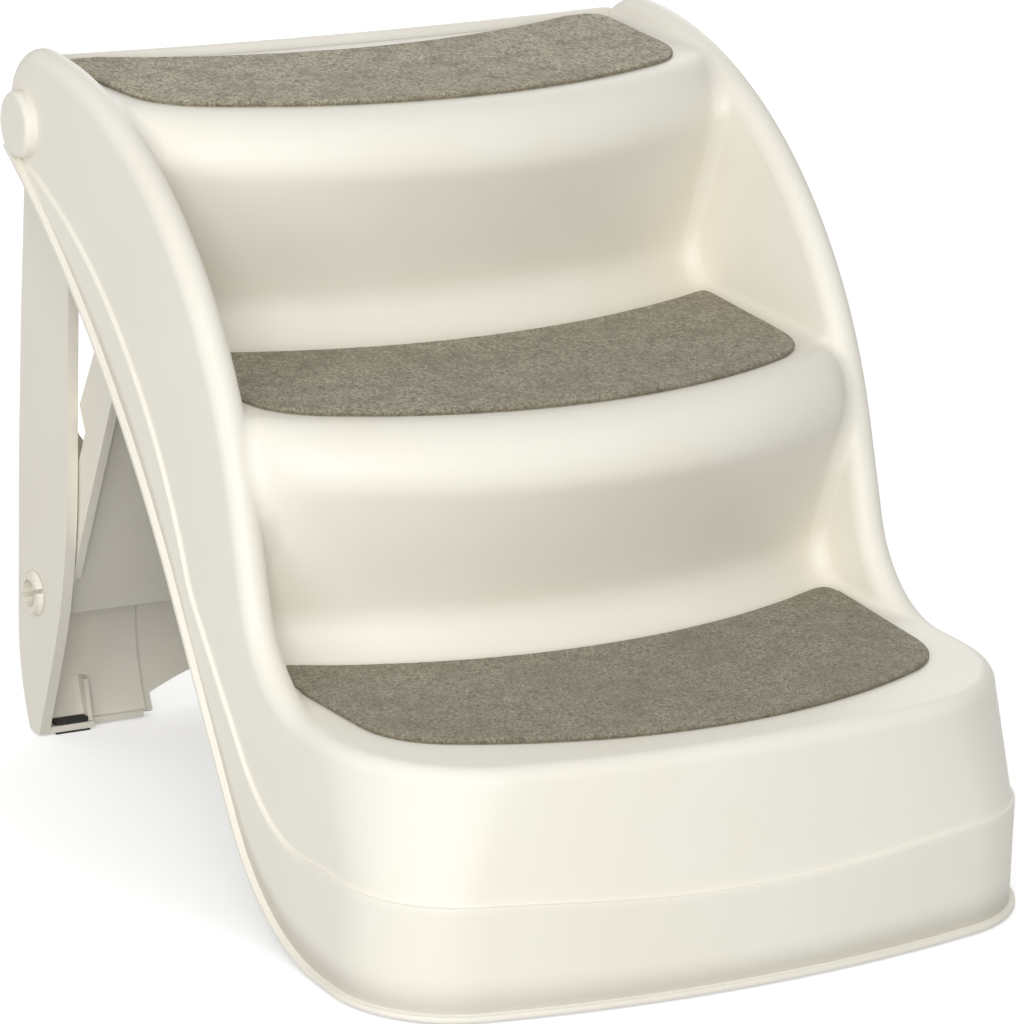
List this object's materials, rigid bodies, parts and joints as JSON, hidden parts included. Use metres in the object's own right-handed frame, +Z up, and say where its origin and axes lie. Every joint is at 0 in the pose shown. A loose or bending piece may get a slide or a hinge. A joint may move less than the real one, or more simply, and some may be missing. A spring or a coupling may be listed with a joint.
{
  "type": "pet stairs",
  "caption": "Folding moulded plastic pet stairs with felt tread mats, a hinged rear leg with a hand hole and a folding brace hooked under the treads.",
  "frame": {"origin": "on the floor under the middle of the unfolded stairs, at the centre of the bounding box's bottom", "axes": "+Z up, +X to the right of someone facing the stairs' rear from the front, +Y from the first tread up to the top tread and the rear leg"},
  "size_m": [0.38, 0.501, 0.387],
  "materials": {
    "plastic": "cream moulded plastic with a fine satin grain",
    "felt": "grey-brown needled felt",
    "rubber": "black rubber"
  },
  "bodies": {
    "steps": {"step_shell": "plastic", "top_tread_mat": "felt", "middle_tread_mat": "felt", "bottom_tread_mat": "felt", "left_pivot_pin": "plastic", "right_pivot_pin": "plastic", "left_front_foot_pad": "rubber", "right_front_foot_pad": "rubber"},
    "rear_leg": {"rear_leg": "plastic", "left_rear_foot_pad": "rubber", "right_rear_foot_pad": "rubber"},
    "brace": {"brace": "plastic"}
  },
  "joints": [
    {"name": "leg_fold", "type": "hinge", "parent": "steps", "child": "rear_leg", "pos_m": [0, 0.1995, 0.3465], "axis": [-1, 0, 0], "range_deg": [0, 34]},
    {"name": "brace_fold", "type": "hinge", "parent": "rear_leg", "child": "brace", "pos_m": [0, 0.229, 0.08], "axis": [-1, 0, 0], "range_deg": [0, 21.2]}
  ],
  "couplings": [
    {"joint": "brace_fold", "follows": "leg_fold", "ratio": 0.62}
  ]
}
